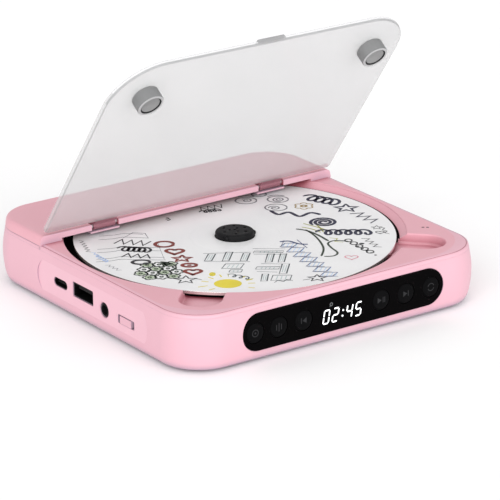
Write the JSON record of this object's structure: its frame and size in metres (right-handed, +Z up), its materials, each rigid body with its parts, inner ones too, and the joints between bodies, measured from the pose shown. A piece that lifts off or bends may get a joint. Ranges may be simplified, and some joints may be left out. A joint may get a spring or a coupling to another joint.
{
  "type": "portable cd player",
  "caption": "Small square portable CD player with a hinged clear lid, exposed disc on a spindle, black front control panel with clock and side ports.",
  "frame": {"origin": "on the disc's axis, on the surface the player stands on, at the middle of its square footprint", "axes": "+X to the player's right seen from the front, +Y to its back where the lid is hinged, +Z up; the lid is open 54 degrees at rest"},
  "size_m": [0.135, 0.135, 0.1034],
  "materials": {
    "pink_plastic": "satin moulded",
    "clear_acrylic": "clear polished",
    "black_plastic": "fine matte",
    "gloss_black": "high gloss",
    "steel": "plain",
    "board_green": "solder mask",
    "black_rubber": "matte",
    "light_pipe": "clear moulded",
    "display_module": "dark window",
    "battery_wrap": "foil pouch",
    "grey_plastic": "fine matte",
    "magnet_plating": "nickel plate",
    "die_cast": "die cast",
    "lens_glass": "coated",
    "disc_print": "printed and lacquered",
    "cone_paper": "pulp paper"
  },
  "bodies": {
    "case": {"bottom_case": "pink_plastic", "top_cover": "pink_plastic", "disc_tray": "black_plastic", "indicator_light": "light_pipe", "rubber_foot_1": "black_rubber", "rubber_foot_2": "black_rubber", "rubber_foot_3": "black_rubber", "rubber_foot_4": "black_rubber", "case_screw_1": "steel", "case_screw_2": "steel", "case_screw_3": "steel", "case_screw_4": "steel", "hinge_pin_left": "steel", "hinge_pin_right": "steel", "keeper_plate_left": "steel", "keeper_plate_right": "steel", "front_panel": "gloss_black", "display_board": "board_green", "clock_display": "display_module", "usb_c_port": "steel", "usb_a_port": "steel", "headphone_jack": "black_plastic", "slide_switch": "steel", "main_board": "board_green", "battery": "battery_wrap", "speaker_frame_left": "steel", "speaker_frame_right": "steel", "mechanism_chassis": "steel", "guide_rod_front": "steel", "guide_rod_rear": "steel", "sled_motor": "steel", "spindle_motor": "steel", "rubber_damper_1": "black_rubber", "rubber_damper_2": "black_rubber", "rubber_damper_3": "black_rubber"},
    "lid": {"lid": "clear_acrylic", "lid_post_left": "grey_plastic", "lid_post_right": "grey_plastic", "lid_magnet_left": "magnet_plating", "lid_magnet_right": "magnet_plating"},
    "turntable": {"spindle_hub": "black_plastic", "disc": "disc_print"},
    "chuck_ball_1": {"chuck_ball_1": "steel"},
    "chuck_ball_2": {"chuck_ball_2": "steel"},
    "chuck_ball_3": {"chuck_ball_3": "steel"},
    "mode_button": {"mode_button": "gloss_black"},
    "equaliser_button": {"equaliser_button": "gloss_black"},
    "previous_button": {"previous_button": "gloss_black"},
    "play_button": {"play_button": "gloss_black"},
    "next_button": {"next_button": "gloss_black"},
    "repeat_button": {"repeat_button": "gloss_black"},
    "switch_knob": {"switch_knob": "pink_plastic"},
    "pickup_sled": {"pickup_sled": "die_cast"},
    "objective_lens": {"objective_lens": "lens_glass"},
    "feed_screw": {"feed_screw": "steel"},
    "speaker_cone_left": {"speaker_cone_left": "cone_paper"},
    "speaker_cone_right": {"speaker_cone_right": "cone_paper"}
  },
  "joints": [
    {"name": "lid_hinge", "type": "hinge", "parent": "case", "child": "lid", "pos_m": [0, 0.0314, 0.0246], "axis": [-1, 0, 0], "range_deg": [-54, 46]},
    {"name": "disc_spin", "type": "hinge", "parent": "case", "child": "turntable", "pos_m": [0, 0, 0.0204], "axis": [0, 0, 1], "continuous": true},
    {"name": "chuck_ball_1_spring", "type": "slide", "parent": "turntable", "child": "chuck_ball_1", "axis": [0, 1, 0], "range_m": [-0.0008, 0], "stiffness_N_per_m": 150, "springref_m": 0.0008},
    {"name": "chuck_ball_2_spring", "type": "slide", "parent": "turntable", "child": "chuck_ball_2", "axis": [-0.866, -0.5, 0], "range_m": [-0.0008, 0], "stiffness_N_per_m": 150, "springref_m": 0.0008},
    {"name": "chuck_ball_3_spring", "type": "slide", "parent": "turntable", "child": "chuck_ball_3", "axis": [0.866, -0.5, 0], "range_m": [-0.0008, 0], "stiffness_N_per_m": 150, "springref_m": 0.0008},
    {"name": "mode_press", "type": "slide", "parent": "case", "child": "mode_button", "axis": [0, 1, 0], "range_m": [0, 0.0005], "stiffness_N_per_m": 400, "springref_m": -0.0005},
    {"name": "equaliser_press", "type": "slide", "parent": "case", "child": "equaliser_button", "axis": [0, 1, 0], "range_m": [0, 0.0005], "stiffness_N_per_m": 400, "springref_m": -0.0005},
    {"name": "previous_press", "type": "slide", "parent": "case", "child": "previous_button", "axis": [0, 1, 0], "range_m": [0, 0.0005], "stiffness_N_per_m": 400, "springref_m": -0.0005},
    {"name": "play_press", "type": "slide", "parent": "case", "child": "play_button", "axis": [0, 1, 0], "range_m": [0, 0.0005], "stiffness_N_per_m": 400, "springref_m": -0.0005},
    {"name": "next_press", "type": "slide", "parent": "case", "child": "next_button", "axis": [0, 1, 0], "range_m": [0, 0.0005], "stiffness_N_per_m": 400, "springref_m": -0.0005},
    {"name": "repeat_press", "type": "slide", "parent": "case", "child": "repeat_button", "axis": [0, 1, 0], "range_m": [0, 0.0005], "stiffness_N_per_m": 400, "springref_m": -0.0005},
    {"name": "switch_slide", "type": "slide", "parent": "case", "child": "switch_knob", "axis": [0, 1, 0], "range_m": [-0.0014, 0.0014]},
    {"name": "sled_slide", "type": "slide", "parent": "case", "child": "pickup_sled", "axis": [1, 0, 0], "range_m": [0, 0.0338]},
    {"name": "feed_screw_spin", "type": "hinge", "parent": "case", "child": "feed_screw", "pos_m": [0, 0.019, 0.0095], "axis": [1, 0, 0], "range_deg": [0, 4060]},
    {"name": "lens_focus", "type": "slide", "parent": "pickup_sled", "child": "objective_lens", "axis": [0, 0, 1], "range_m": [-0.0004, 0.0004], "stiffness_N_per_m": 60},
    {"name": "speaker_cone_left_travel", "type": "slide", "parent": "case", "child": "speaker_cone_left", "axis": [0, 0, 1], "range_m": [-0.0003, 0.0003], "stiffness_N_per_m": 300},
    {"name": "speaker_cone_right_travel", "type": "slide", "parent": "case", "child": "speaker_cone_right", "axis": [0, 0, 1], "range_m": [-0.0003, 0.0003], "stiffness_N_per_m": 300}
  ],
  "couplings": [
    {"joint": "feed_screw_spin", "follows": "sled_slide", "rad_per_m": 2094.4}
  ]
}
